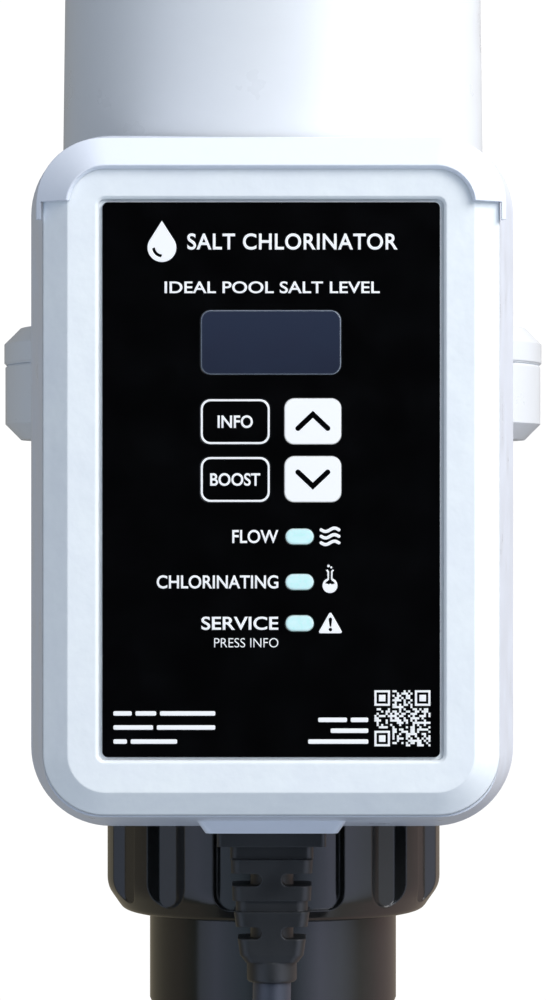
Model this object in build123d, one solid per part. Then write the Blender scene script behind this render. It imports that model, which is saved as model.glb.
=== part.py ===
from build123d import *
import math
import os

# An inline salt chlorine generator: a white flow-through cell with a union at each end,
# a control housing on its front and a four-wire cord that leaves downwards.
# Millimetres. The origin is the centre of the lower pipe socket's mouth, +Z runs up the
# pipe axis and the control panel faces -Y.

# ---- driving dimensions ------------------------------------------------------------
total_height = 419.0

# Slip union for 2 inch pipe (60.3 mm outside diameter).
socket_r = 30.25
socket_depth = 35.5
tail_r = 34.0
tail_height = 39.1
tail_flange_r = 37.8
tail_flange_z = 32.4
passage_r = 26.5
nut_r = 46.1
nut_flute_r = 43.1
nut_bottom_z = 26.4
nut_top_z = 66.4
nut_lip_r = 34.5
nut_lip_top_z = 32.2
nut_corner_r = 41.2
nut_corner_z = 33.4
nut_rounds = (3.0, 8.0, 2.6)
nut_bore_r = 38.4
nut_bore_z = (41.2, 42.6)
flute_reach = 4.5
flute_floor_w = 5.4
flute_floor_z = (29.9, 58.5)
flute_floor_corner = 2.5
flute_slope = 1.43
flute_first = 42.8
flute_step = 23.6
flute_tilt = 8.0
wide_flute_sweep = 44.6
wide_flute_reach = 8.0
wide_flute_floor_z = (30.0, 61.5)
wide_flute_mouth_z = 25.4
wide_flute_corner = 4.2
nut_start = 2.3

# Union thread, right-handed.
thread_pitch = 5.0
spigot_root_r = 38.2
spigot_crest_r = 40.0
nut_crest_r = 38.6
nut_root_r = 40.4
# Width of each ridge at its root and at its crest.
nut_ridge_w = (1.45, 0.75)
spigot_ridge_w = (1.5, 0.8)
spigot_thread_z = 43.5
spigot_thread_length = 17.5
nut_thread_z = 46.0
nut_thread_length = 15.0

# Cell body, made in two halves that meet at a flange.
spigot_end_z = 39.4
cell_r = 57.75
cell_wall = 3.6
shoulder_low_z = 67.0
shoulder_high_z = 82.0
seam_z = 175.95
ring_r = 73.8
ring_low_z = 155.5
ring_high_z = 186.0
ring_chamfer = 4.3
upper_cell_top_z = 336.0
upper_shoulder_top_z = 352.0
upper_cell_base_r = 58.5
upper_cell_top_r = 56.65

# Control housing.
housing_z = 144.05
half_w_back = 63.6
half_h_back = 91.05
corner_back = 21.0
y_back = -50.0
half_w_front = 56.98
half_h_front = 84.4
corner_front = 14.5
y_front = -104.0
y_rear_edge = -44.0
wall = 2.6
cheek_y = -28.0
cheek_half_h = 79.0
saddle_r = 59.2
nut_saddle_r = 50.0
ring_saddle_r = 74.9
ring_gap = 1.4
deck_y = -66.0
deck_half_w = 46.0
deck_low_z = 84.0
deck_high_z = 221.0
ledge_front_y = -100.8
ledge_back_y = -98.6
column_x = 48.0
column_z = 74.0
column_r = 5.5
column_seat_y = -92.0

# Hood: the raised lip that wraps the bezel's top edge and upper corners.
hood_half_w = 58.7
hood_half_h = 85.4
hood_corner = 16.5
hood_edge_y = -106.2
hood_rim_half_w = 51.0
hood_rim_half_h = 78.2
hood_rim_corner = 9.8
hood_y = -112.3
hood_inner_half_w = 50.1
hood_inner_half_h = 77.3
hood_inner_corner = 8.9
hood_inner_y = -110.3
hood_inner_slope = 0.3
hood_end_z = 213.4
hood_tab_z = 209.0

# Front bezel and the label recessed into it.
bezel_half_w = 57.2
bezel_half_h = 83.9
bezel_corner = 15.5
bezel_back_y = -105.0
bezel_flat_half_w = 50.7
bezel_flat_half_h = 77.9
bezel_flat_corner = 9.5
bezel_y = -110.0
bezel_inside_y = -106.0
skirt_half_w = 54.0
skirt_half_h = 80.9
skirt_corner = 12.0
skirt_wall = 2.2
skirt_y = -102.0
recess_w = 85.9
recess_h = 139.7
recess_y = -108.2
label_w = 84.1
label_h = 138.2
label_y = -109.0

# Panel layout: x and height above the housing's centre.
window_size = (34.9, 16.0)
window_at = (-0.05, 34.2)
window_corner = 2.5
key_sizes = {
    "info": (17.3, 11.3),
    "boost": (17.3, 11.3),
    "up": (14.0, 11.3),
    "down": (14.0, 11.3),
}
key_places = {
    "info": (-8.95, 14.45),
    "boost": (-8.95, 0.05),
    "up": (10.4, 14.55),
    "down": (10.4, 0.15),
}
key_corner = 2.4
lens_size = (7.0, 3.9)
lens_x = 7.1
lens_heights = {"flow": -14.15, "chlorinating": -25.45, "warning": -35.75}
key_gap = 0.15

# Control board, held on the bezel.
board_y = -99.0
board_thickness = 1.6
board_half_w = 46.0
board_half_h = 69.5
board_hole_x = 40.0
board_hole_z = 62.0

# Electrode pack.
plate_pitch = 6.0
plate_count = 11
plate_thickness = 1.0
plate_half_w = 34.0
plate_low_z = 190.0
plate_high_z = 328.0
stud_heights = {"anode": 199.0, "cathode": 213.0}
stud_r = 3.0

# Flow sensor and temperature probe.
flow_z = 118.0
paddle_axis_y = -33.0
sensor_face_y = -40.6
probe_x = -24.0
probe_z = 136.0

# Cord, its strain relief and the coil of spare length.
cord_r = 5.0
cord_y = -68.0
cord_exit_z = 14.2
relief_flange_z = 59.4
relief_collar_z = 53.5
# Each block: top, bottom, (width, depth) at the top and at the bottom, corner.
relief_blocks = (
    (62.0, relief_flange_z, (25.0, 17.0), (25.0, 17.0), 2.0),
    (relief_flange_z, relief_collar_z, (20.0, 13.0), (20.0, 13.0), 1.5),
    (relief_collar_z, 49.8, (28.0, 19.0), (28.0, 19.0), 1.2),
    (49.8, 46.4, (21.5, 12.8), (21.5, 12.8), 2.0),
    (46.4, 35.7, (21.2, 15.8), (20.2, 15.4), 2.6),
    (35.7, 32.9, (18.6, 13.0), (18.6, 13.0), 3.0),
    (32.9, 21.5, (19.6, 15.0), (16.4, 13.8), 2.6),
    (21.5, 19.6, (16.4, 13.8), (13.6, 12.6), 2.6),
)
relief_nose_r = 6.5
relief_nose_round = 1.0
relief_core_r = 5.6
relief_slots = ((25.8, 28.95), (39.55, 42.75))
relief_slot_x = 2.6
relief_slot_reach = (16.0, 12.0)
coil_z = -120.0
coil_r = 60.0
coil_columns = 4
coil_layers = 3
lead_in_route = [
    (0.0, cord_y, cord_exit_z),
    (0.0, cord_y, -10.5),
    (-8.5, cord_y, -32.5),
    (-25.5, cord_y, -50.0),
    (-45.0, cord_y, -62.5),
]
tail_route = [
    (-74.0, cord_y - 10.0, -133.0),
    (-77.5, cord_y - 10.0, -151.0),
    (-79.0, cord_y - 10.0, -171.0),
    (-79.0, cord_y - 10.0, -190.0),
]


# ---- helpers -----------------------------------------------------------------------
def outline(y, half_w, half_h, corner):
    """A rounded rectangle in the plane Y = y, centred on the housing."""
    plane = Plane.XZ.offset(-y)
    return plane * Pos(0, housing_z) * RectangleRounded(2 * half_w, 2 * half_h, corner)


def taper(first, second):
    """A straight-sided solid between two outlines, each (y, half_w, half_h, corner)."""
    return loft([outline(*first), outline(*second)], ruled=True)


def slab(y_from, y_to, half_w, half_h, corner):
    """A rounded slab from y_from forwards to y_to."""
    return extrude(outline(y_from, half_w, half_h, corner), amount=y_from - y_to)


def panel_slab(size, place, corner, y_from, y_to):
    """A rounded slab at a place on the panel."""
    plane = Plane.XZ.offset(-y_from)
    x, height = place
    sketch = plane * Pos(x, housing_z + height) * RectangleRounded(*size, corner)
    return extrude(sketch, amount=y_from - y_to)


def panel_slot(size, place, y_from, y_to):
    """A slab with round ends at a place on the panel."""
    plane = Plane.XZ.offset(-y_from)
    x, height = place
    sketch = plane * Pos(x, housing_z + height) * SlotOverall(*size)
    return extrude(sketch, amount=y_from - y_to)


def box(x, y, z):
    """A box from three (low, high) pairs."""
    size = (x[1] - x[0], y[1] - y[0], z[1] - z[0])
    middle = ((x[0] + x[1]) / 2, (y[0] + y[1]) / 2, (z[0] + z[1]) / 2)
    return Pos(*middle) * Box(*size)


def rod_y(radius, x, z, y_from, y_to):
    """A cylinder along Y."""
    middle = (y_from + y_to) / 2
    return Pos(x, middle, z) * Rot(90, 0, 0) * Cylinder(radius, abs(y_to - y_from))


def rod_x(radius, y, z, half_length):
    """A cylinder along X, centred on X = 0."""
    return Pos(0, y, z) * Rot(0, 90, 0) * Cylinder(radius, 2 * half_length)


def rod_z(radius, z_from, z_to, x=0.0, y=0.0):
    """A cylinder along Z."""
    return Pos(x, y, (z_from + z_to) / 2) * Cylinder(radius, z_to - z_from)


def turned(points, rounds=()):
    """A solid turned about the pipe axis from (radius, z) points, each round (radius, z, size)."""
    face = make_face(Polyline(*points, close=True))
    for radius, z, size in rounds:
        corner = face.vertices().sort_by_distance((radius, z, 0))[0]
        face = fillet(corner, size)
    return revolve(Plane.XZ * face, Axis.Z)


def tube(points, radii, radius):
    """A round tube along straight runs joined by tangent arcs."""
    path = FilletPolyline(*points, radius=radii)
    section = Plane(origin=path @ 0, z_dir=path % 0) * Circle(radius)
    return sweep(section, path=path)


def largest_radii(points):
    """The largest arc that each corner's two runs allow."""
    radii = []
    for before, corner, after in zip(points, points[1:], points[2:]):
        first = Vector(*corner) - Vector(*before)
        second = Vector(*after) - Vector(*corner)
        shorter = min(first.length, second.length)
        half_turn = math.radians(first.get_angle(second)) / 2
        radii.append(0.45 * shorter / math.tan(half_turn))
    return radii


def wire(points, radius=0.9, bend=3.0):
    """A thin lead inside the housing."""
    return tube(points, [bend] * (len(points) - 2), radius)


def helical_ridge(base_r, crest_r, base_half, crest_half, z_from, length):
    """A thread ridge from base_r to crest_r, sunk a little into the wall it grows from."""
    path = Pos(0, 0, z_from) * Helix(pitch=thread_pitch, height=length, radius=base_r)
    start = Plane(origin=path @ 0, x_dir=(1, 0, 0), z_dir=path % 0)
    rise = crest_r - base_r
    sink = -math.copysign(0.4, rise)
    corners = [(sink, -base_half), (rise, -crest_half), (rise, crest_half), (sink, base_half)]
    section = start * make_face(Polyline(*corners, close=True))
    return sweep(section, path=path, is_frenet=True)


def upper(shape):
    """The same piece at the other end of the cell, turned end for end about X."""
    return Pos(0, 0, total_height) * Rot(180, 0, 0) * shape


nodes = {}


def save(name, *pieces):
    """Keeps a node: one solid, or a group of separate solids."""
    nodes[name] = pieces[0] if len(pieces) == 1 else Compound(children=list(pieces))


# ---- unions ------------------------------------------------------------------------
def make_tailpiece():
    """Pipe socket with a flange that the union nut pulls against the cell."""
    body = turned(
        [
            (socket_r, 0.0),
            (tail_r - 2.0, 0.0),
            (tail_r - 0.6, 0.6),
            (tail_r, 2.0),
            (tail_r, tail_flange_z),
            (tail_flange_r, tail_flange_z),
            (tail_flange_r, tail_height),
            (passage_r, tail_height),
            (passage_r, socket_depth),
            (socket_r, socket_depth),
        ]
    )
    groove = rod_z(35.3, 36.8, tail_height + 1) - rod_z(31.7, 36.0, tail_height + 2)
    return body - groove


def make_o_ring():
    """Squeezed in its groove, just short of the cell's end face."""
    section = Plane.XZ * Pos(33.5, 38.07) * RectangleRounded(3.3, 2.48, 1.15)
    return revolve(section, Axis.Z)


def flute_cutter(angle, tilt):
    """A groove down the nut's side, with sloping walls and a floor turned by the tilt."""
    low, high = flute_floor_z
    grow = flute_slope * flute_reach
    floor = RectangleRounded(flute_floor_w, high - low, flute_floor_corner)
    mouth = RectangleRounded(
        flute_floor_w + 2 * grow, high - low + 2 * grow, flute_floor_corner + grow
    )
    middle = Pos(0, (low + high) / 2)
    cutter = loft(
        [Plane.XZ * middle * floor, Plane.XZ.offset(flute_reach) * middle * mouth], ruled=True
    )
    return Rot(0, 0, angle) * Pos(0, -nut_flute_r, 0) * Rot(0, 0, tilt) * cutter


def wide_flute_cutter(angle, sweep_angle):
    """The broad groove at the front and at the back of the nut."""
    low, high = wide_flute_floor_z
    mouth_r = nut_flute_r + wide_flute_reach
    profile = Polyline(
        (nut_flute_r, low),
        (mouth_r, wide_flute_mouth_z),
        (mouth_r, high),
        (nut_flute_r, high),
        close=True,
    )
    face = make_face(Plane.XZ * profile)
    sector = revolve(face, Axis.Z, revolution_arc=sweep_angle)
    lines = sector.edges().filter_by(GeomType.LINE)
    across = [edge for edge in lines if edge.length < 2 * wide_flute_reach]
    sector = fillet(across, wide_flute_corner)
    return Rot(0, 0, angle - 90 - sweep_angle / 2) * sector


def make_union_nut():
    """Ribbed nut: lip over the tailpiece's flange, inside thread on the cell's spigot."""
    body = turned(
        [
            (nut_lip_r, nut_bottom_z),
            (nut_corner_r, nut_bottom_z),
            (nut_r, nut_corner_z),
            (nut_r, nut_top_z),
            (nut_root_r + 0.6, nut_top_z),
            (nut_root_r, nut_top_z - 0.6),
            (nut_root_r, nut_bore_z[1]),
            (nut_bore_r, nut_bore_z[0]),
            (nut_bore_r, nut_lip_top_z),
            (nut_lip_r, nut_lip_top_z),
        ],
        rounds=(
            (nut_corner_r, nut_bottom_z, nut_rounds[0]),
            (nut_r, nut_corner_z, nut_rounds[1]),
            (nut_r, nut_top_z, nut_rounds[2]),
        ),
    )
    for side in (0, 180):
        body -= wide_flute_cutter(nut_start + side, wide_flute_sweep)
        for index in range(5):
            angle = nut_start + side + flute_first + flute_step * index
            body -= flute_cutter(angle, flute_tilt * (index > 2) - flute_tilt * (index < 2))
    ridge = helical_ridge(
        nut_root_r, nut_crest_r, *nut_ridge_w, nut_thread_z, nut_thread_length
    )
    return body + ridge


# ---- cell body ---------------------------------------------------------------------
def spigot_ridge():
    """Outside thread of the lower spigot."""
    return helical_ridge(
        spigot_root_r, spigot_crest_r, *spigot_ridge_w, spigot_thread_z, spigot_thread_length
    )


def forward_boss(radius, x, z):
    """A round boss on the cell's front that reaches the housing's floor."""
    return rod_y(radius, x, z, -50.0, deck_y)


def make_cell_body_lower():
    """Inlet half: spigot, shoulder, sensor bosses and the lower flange ring."""
    wall_r = cell_r - cell_wall
    body = turned(
        [
            (passage_r, spigot_end_z),
            (37.4, spigot_end_z),
            (spigot_root_r, spigot_end_z + 0.8),
            (spigot_root_r, 65.6),
            (40.0, shoulder_low_z),
            (44.6, 68.0),
            (50.2, 70.8),
            (54.9, 75.4),
            (57.2, 79.6),
            (cell_r, shoulder_high_z),
            (cell_r, ring_low_z),
            (ring_r - ring_chamfer, ring_low_z),
            (ring_r, ring_low_z + ring_chamfer),
            (ring_r, seam_z - 0.6),
            (ring_r - 0.6, seam_z),
            (wall_r, seam_z),
            (wall_r, shoulder_high_z + 4),
            (47.0, 75.0),
            (36.0, 69.5),
            (30.5, 64.0),
            (passage_r, 57.0),
        ]
    )
    body += spigot_ridge()
    for x in (-34.0, 34.0):
        body += forward_boss(5.5, x, 98.0)
        body -= rod_y(1.95, x, 98.0, -55.0, deck_y - 1)
    body += forward_boss(13.0, 0.0, flow_z)
    body -= rod_y(9.2, 0.0, flow_z, -40.0, deck_y - 1)
    body += forward_boss(6.5, probe_x, probe_z)
    body -= rod_y(3.1, probe_x, probe_z, -40.0, deck_y - 1)
    return body


def make_cell_body_upper():
    """Outlet half: flange ring, electrode chamber, shoulder and spigot."""
    top = total_height
    body = turned(
        [
            (50.5, 184.0),
            (cell_r - cell_wall, 183.0),
            (cell_r - cell_wall, seam_z),
            (ring_r + 0.3 - 0.6, seam_z),
            (ring_r + 0.3, seam_z + 0.6),
            (ring_r + 0.3, ring_high_z - ring_chamfer),
            (ring_r + 0.3 - ring_chamfer, ring_high_z),
            (upper_cell_base_r, ring_high_z),
            (upper_cell_top_r, upper_cell_top_z),
            (56.1, 338.9),
            (54.0, 343.2),
            (49.6, 347.9),
            (44.4, 350.9),
            (40.0, upper_shoulder_top_z),
            (spigot_root_r, top - 65.6),
            (spigot_root_r, top - spigot_end_z - 0.8),
            (37.4, top - spigot_end_z),
            (passage_r, top - spigot_end_z),
            (passage_r, top - 57.0),
            (30.5, top - 64.0),
            (36.0, top - 69.5),
            (47.0, top - 75.5),
            (upper_cell_top_r - cell_wall, 332.0),
            (upper_cell_base_r - cell_wall - 0.8, 187.6),
            (50.5, 187.6),
        ]
    )
    body += upper(spigot_ridge())
    for x in (-34.0, 34.0):
        body += forward_boss(5.5, x, 207.0)
        body -= rod_y(1.95, x, 207.0, -55.0, deck_y - 1)
    for z in stud_heights.values():
        body += forward_boss(6.0, 0.0, z)
        body -= rod_y(stud_r + 0.1, 0.0, z, -40.0, deck_y - 1)
        body -= rod_y(4.6, 0.0, z, deck_y + 2.4, deck_y - 1)
    return body


# ---- control housing ---------------------------------------------------------------
def saddle(clearance):
    """What the housing's floor must stay outside of, grown by a clearance."""
    cell = rod_z(saddle_r + clearance, 67.4 - clearance, 260.0)
    nut = rod_z(nut_saddle_r + clearance, 20.0, 70.0 + clearance)
    ring = rod_z(
        ring_saddle_r + clearance,
        ring_low_z - ring_gap - clearance,
        ring_high_z + ring_gap + clearance,
    )
    deck = box(
        (-deck_half_w - clearance, deck_half_w + clearance),
        (deck_y - clearance, 0.0),
        (deck_low_z - clearance, deck_high_z + clearance),
    )
    return cell + nut + ring + deck


def housing_outside():
    """The shell's outside: a tapered front, a short rounded back and two cheeks."""
    front = taper(
        (y_back, half_w_back, half_h_back, corner_back),
        (y_front, half_w_front, half_h_front, corner_front),
    )
    back = slab(y_rear_edge, y_back, half_w_back, half_h_back, corner_back)
    rim = back.faces().sort_by(Axis.Y)[-1].edges()
    back = fillet(rim, 5.0)
    cheeks = slab(cheek_y, y_back, half_w_back - 0.6, cheek_half_h, 14.0)
    cheek_rim = cheeks.faces().sort_by(Axis.Y)[-1].edges()
    cheeks = fillet(cheek_rim, 4.0)
    return front + back + cheeks


def housing_inside():
    """The space inside the shell, before the floor is taken out of it."""
    front = taper(
        (y_back, half_w_back - wall, half_h_back - wall, corner_back - wall),
        (y_front - 1, half_w_front - wall, half_h_front - wall, corner_front - wall),
    )
    back = slab(
        y_rear_edge - wall,
        y_back,
        half_w_back - wall - 1.5,
        half_h_back - wall - 1.5,
        corner_back - wall - 1.5,
    )
    cheeks = slab(cheek_y - wall - 1, y_back, half_w_back - 2 * wall, cheek_half_h - wall, 12.0)
    return front + back + cheeks


def make_hood():
    """The raised lip over the bezel's top edge and upper corners."""
    skirt = taper(
        (y_front + 2.5, half_w_front - 0.6, half_h_front - 0.4, corner_front - 0.6),
        (hood_edge_y, hood_half_w, hood_half_h, hood_corner),
    )
    crown = taper(
        (hood_edge_y, hood_half_w, hood_half_h, hood_corner),
        (hood_y, hood_rim_half_w, hood_rim_half_h, hood_rim_corner),
    )
    lip = skirt + crown
    gap = 0.3
    lip -= taper(
        (bezel_back_y, bezel_half_w + gap, bezel_half_h + gap, bezel_corner + gap),
        (bezel_y - gap, bezel_flat_half_w + gap, bezel_flat_half_h + gap, bezel_flat_corner + gap),
    )
    lip -= slab(
        bezel_back_y + gap,
        bezel_back_y,
        bezel_half_w + gap,
        bezel_half_h + gap,
        bezel_corner + gap,
    )
    lip -= slab(
        y_front + 6,
        bezel_back_y,
        half_w_front - wall,
        half_h_front - wall,
        corner_front - wall,
    )
    flare = hood_inner_slope * (hood_inner_y - hood_y + 1)
    lip -= taper(
        (hood_y - 1, hood_inner_half_w + flare, hood_inner_half_h + flare, hood_inner_corner + flare),
        (hood_inner_y, hood_inner_half_w, hood_inner_half_h, hood_inner_corner),
    )
    lip -= slab(
        bezel_y + 1, hood_y - 1, hood_inner_half_w, hood_inner_half_h, hood_inner_corner
    )
    low = box((-80, 80), (-120, -90), (0, hood_tab_z))
    middle = box((-bezel_half_w - gap, bezel_half_w + gap), (-120, -90), (0, hood_end_z))
    return lip - low - middle


def make_rear_housing():
    """Deep shell that hugs the cell, with its hood, screw columns and cord outlet."""
    floor_cut = saddle(0.0)
    hollow = housing_inside() - saddle(wall)
    tab = loft(
        [
            Plane.XY.offset(60.0) * Pos(0, cord_y) * RectangleRounded(43.0, 26.0, 2.0),
            Plane.XY.offset(relief_collar_z) * Pos(0, cord_y) * RectangleRounded(34.1, 24.0, 2.0),
        ],
        ruled=True,
    )
    shell = housing_outside() + tab - floor_cut
    shell -= hollow
    ledge = slab(ledge_back_y, ledge_front_y, 55.2, 82.4, 12.5)
    ledge -= slab(ledge_back_y + 1, ledge_front_y - 1, 50.0, 77.4, 8.0)
    shell += ledge
    for x in (-column_x, column_x):
        for z in (housing_z - column_z, housing_z + column_z):
            shell += rod_y(column_r, x, z, y_rear_edge - 1.5, ledge_front_y)
            shell -= rod_y(3.6, x, z, y_rear_edge + 1, column_seat_y)
            shell -= rod_y(1.9, x, z, y_rear_edge, ledge_front_y - 1)
    for z in (98.0, 207.0):
        for x in (-34.0, 34.0):
            shell -= rod_y(2.2, x, z, deck_y + 1, deck_y - wall - 1)
    for z in stud_heights.values():
        shell -= rod_y(stud_r + 0.5, 0.0, z, deck_y + 1, deck_y - wall - 1)
    shell -= rod_y(9.6, 0.0, flow_z, deck_y + 1, deck_y - wall - 1)
    shell -= rod_y(3.6, probe_x, probe_z, deck_y + 1, deck_y - wall - 1)
    shell -= Pos(0, cord_y, 56.5) * Box(20.4, 13.4, 12.0)
    return shell + make_hood()


def make_housing_gasket():
    """Flat seal between the shell's ledge and the bezel's skirt."""
    ring = slab(ledge_front_y, skirt_y, skirt_half_w, skirt_half_h, skirt_corner)
    ring -= slab(
        ledge_front_y + 1,
        skirt_y - 1,
        skirt_half_w - skirt_wall,
        skirt_half_h - skirt_wall,
        skirt_corner - skirt_wall,
    )
    for x in (-column_x, column_x):
        for z in (housing_z - column_z, housing_z + column_z):
            ring += rod_y(4.3, x, z, ledge_front_y, skirt_y)
            ring -= rod_y(2.0, x, z, ledge_front_y + 1, skirt_y - 1)
    return ring


def make_front_bezel():
    """Bevelled front frame with a recess for the label and bosses for the board."""
    body = taper(
        (bezel_back_y, bezel_half_w, bezel_half_h, bezel_corner),
        (bezel_y, bezel_flat_half_w, bezel_flat_half_h, bezel_flat_corner),
    )
    body += slab(skirt_y, bezel_back_y, skirt_half_w, skirt_half_h, skirt_corner)
    body -= slab(
        skirt_y + 1,
        bezel_inside_y,
        skirt_half_w - skirt_wall,
        skirt_half_h - skirt_wall,
        skirt_corner - skirt_wall,
    )
    recess = slab(recess_y, bezel_y - 1, recess_w / 2, recess_h / 2, 1.6)
    flare = taper(
        (bezel_y + 0.7, recess_w / 2, recess_h / 2, 1.6),
        (bezel_y - 0.1, recess_w / 2 + 0.8, recess_h / 2 + 0.8, 2.4),
    )
    body -= recess + flare
    for x in (-column_x, column_x):
        for z in (housing_z - column_z, housing_z + column_z):
            body += rod_y(4.3, x, z, skirt_y, bezel_inside_y - 0.5)
            body -= rod_y(1.75, x, z, skirt_y + 1, bezel_inside_y - 1)
    for x in (-board_hole_x, board_hole_x):
        for z in (housing_z - board_hole_z, housing_z + board_hole_z):
            body += rod_y(3.5, x, z, board_y, bezel_inside_y - 0.5)
            body -= rod_y(1.25, x, z, board_y + 1, bezel_inside_y + 0.5)
    return body - panel_openings(bezel_inside_y + 1, recess_y - 1)


def panel_openings(y_from, y_to):
    """Window, key and lens openings, cut through the bezel and the label alike."""
    cuts = panel_slab(grown(window_size), window_at, window_corner + key_gap, y_from, y_to)
    for key, place in key_places.items():
        cuts += panel_slab(grown(key_sizes[key]), place, key_corner + key_gap, y_from, y_to)
    for height in lens_heights.values():
        cuts += panel_slot(grown(lens_size), (lens_x, height), y_from, y_to)
    return cuts


def grown(size):
    """An opening's size around a piece of the given size."""
    return (size[0] + 2 * key_gap, size[1] + 2 * key_gap)


def make_graphic_overlay():
    """Glossy label sheet that fills the bezel's recess."""
    plate = slab(recess_y, label_y, label_w / 2, label_h / 2, 1.4)
    return plate - panel_openings(recess_y + 1, label_y - 1)


def make_display_window():
    """Clear window set in the label's opening."""
    return panel_slab(window_size, window_at, window_corner, bezel_inside_y - 0.2, label_y + 0.1)


def make_key(key):
    """Key cap with a flange behind the bezel and a stem down to its switch."""
    x, height = key_places[key]
    size = key_sizes[key]
    cap = panel_slab(size, (x, height), key_corner, bezel_inside_y + 0.6, label_y)
    flange_size = (size[0] + 1.6, size[1] + 1.6)
    flange = panel_slab(flange_size, (x, height), 2.0, bezel_inside_y + 1.1, bezel_inside_y + 0.15)
    stem = rod_y(1.9, x, housing_z + height, board_y - 2.9, bezel_inside_y + 0.6)
    return cap + flange + stem


def make_lens(name):
    """Light pipe from an indicator lamp on the board to the label."""
    return panel_slot(lens_size, (lens_x, lens_heights[name]), board_y - 3.4, label_y + 0.1)


# ---- control board -----------------------------------------------------------------
def make_control_board():
    """Circuit board on the bezel's four board bosses."""
    board = slab(board_y + board_thickness, board_y, board_half_w, board_half_h, 3.0)
    for x in (-board_hole_x, board_hole_x):
        for z in (housing_z - board_hole_z, housing_z + board_hole_z):
            board -= rod_y(1.5, x, z, board_y + 3, board_y - 1)
    return board


def make_board_screws():
    """Four pan-head screws through the board."""
    back = board_y + board_thickness
    screws = []
    for x in (-board_hole_x, board_hole_x):
        for z in (housing_z - board_hole_z, housing_z + board_hole_z):
            screws.append(make_screw(x, z, back, 1.2, 2.6, 1.8, 6.5))
    return screws


def make_screw(x, z, seat_y, shank_r, head_r, head_height, length):
    """A pan-head screw that enters forwards, with a cross recess in its head."""
    head = rod_y(head_r, x, z, seat_y, seat_y + head_height)
    rim = head.edges().filter_by(GeomType.CIRCLE).sort_by(Axis.Y)[-1]
    head = fillet(rim, 0.35 * head_height)
    shank = rod_y(shank_r, x, z, seat_y, seat_y - length)
    slot = 0.22 * head_r
    top = seat_y + head_height
    for half_x, half_z in ((0.6 * head_r, slot / 2), (slot / 2, 0.6 * head_r)):
        head -= box((x - half_x, x + half_x), (top - 0.8, top + 1), (z - half_z, z + half_z))
    return head + shank


def make_housing_screws():
    """Four screws from the rear, deep in the shell's columns."""
    screws = []
    for x in (-column_x, column_x):
        for z in (housing_z - column_z, housing_z + column_z):
            screws.append(make_screw(x, z, column_seat_y, 1.7, 3.3, 2.4, 13.0))
    return screws


def make_saddle_screws():
    """Four screws that hold the housing's floor to the cell's bosses."""
    screws = []
    for z in (98.0, 207.0):
        for x in (-34.0, 34.0):
            screw = make_screw(0, 0, 0, 1.9, 3.6, 2.4, 12.0)
            screws.append(Pos(x, deck_y - wall, z) * Rot(0, 0, 180) * screw)
    return screws


def make_lcd_module():
    """Display glass on its carrier, close behind the window."""
    x, height = window_at
    carrier = panel_slab((46.0, 27.0), (x, height), 1.0, board_y, board_y - 2.0)
    glass = panel_slab((40.0, 21.0), (x, height), 0.8, board_y - 2.0, bezel_inside_y + 0.6)
    return carrier + glass


def make_indicator_leds():
    """Three small lamps on the board's front, one behind each light pipe."""
    leds = []
    for height in lens_heights.values():
        leds.append(panel_slab((3.2, 1.9), (lens_x, height), 0.3, board_y, board_y - 2.2))
    return leds


def make_switch_bases():
    """Four push switches, each with a well for its key's stem."""
    bases = []
    for x, height in key_places.values():
        base = panel_slab((6.2, 6.2), (x, height), 0.6, board_y, board_y - 3.2)
        bases.append(base - rod_y(2.15, x, housing_z + height, board_y - 2.0, board_y - 4))
    return bases


def on_back(size, place, height, corner=0.6):
    """A block on the board's back."""
    back = board_y + board_thickness
    return panel_slab(size, place, corner, back + height, back)


def make_microcontroller():
    """Square chip with leads along its four sides."""
    chip = on_back((14.0, 14.0), (24.0, 6.0), 1.6, 0.4)
    back = board_y + board_thickness
    leads = Part()
    for step in range(-5, 6):
        offset = 1.1 * step
        for side in (-1, 1):
            across = panel_slab((1.4, 0.5), (24 + side * 7.5, 6 + offset), 0.1, back + 0.5, back)
            along = panel_slab((0.5, 1.4), (24 + offset, 6 + side * 7.5), 0.1, back + 0.5, back)
            leads += across + along
    return chip + leads


def make_heat_sink():
    """Finned block that cools the power stage."""
    block = on_back((26.0, 46.0), (-28.0, -22.0), 15.0, 0.5)
    back = board_y + board_thickness
    for index in range(5):
        x = -28.0 - 10.0 + 5.0 * index
        z = housing_z - 22.0
        block -= box((x - 1.4, x + 1.4), (back + 4.0, back + 16), (z - 30, z + 30))
    return block


def make_capacitors():
    """Three tall cans with a domed vent end."""
    back = board_y + board_thickness
    cans = []
    for z in (154.0, 168.0, 182.0):
        can = rod_y(5.5, -34.0, z, back, back + 16.0)
        rim = can.edges().filter_by(GeomType.CIRCLE).sort_by(Axis.Y)[-1]
        cans.append(fillet(rim, 0.8))
    return cans


def make_relays():
    """Two relays that swap the electrodes' polarity to clean them."""
    return [on_back((15.5, 19.0), (x, 52.0), 15.0, 0.8) for x in (-21.0, 21.0)]


def make_inductor():
    """Ring-wound choke standing on the board."""
    back = board_y + board_thickness
    ring = Pos(26.0, back + 6.0, housing_z - 22.0) * Rot(90, 0, 0) * Torus(8.0, 4.0)
    return ring + rod_y(3.2, 18.0, housing_z - 22.0, back, back + 6.0)


def make_terminal_block():
    """Four-way screw terminal for the cord's leads."""
    back = board_y + board_thickness
    block = on_back((28.0, 12.0), (0.0, -57.0), 13.0, 0.8)
    for index in range(4):
        x = -10.5 + 7.0 * index
        z = housing_z - 57.0
        block -= rod_y(2.2, x, z, back + 10.5, back + 14)
        block -= rod_z(1.7, z - 7, z - 1, x, back + 5.0)
    return block


# ---- electrodes --------------------------------------------------------------------
def plate_x(index):
    """Where a plate stands across the cell."""
    return plate_pitch * (index - (plate_count - 1) / 2)


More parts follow.
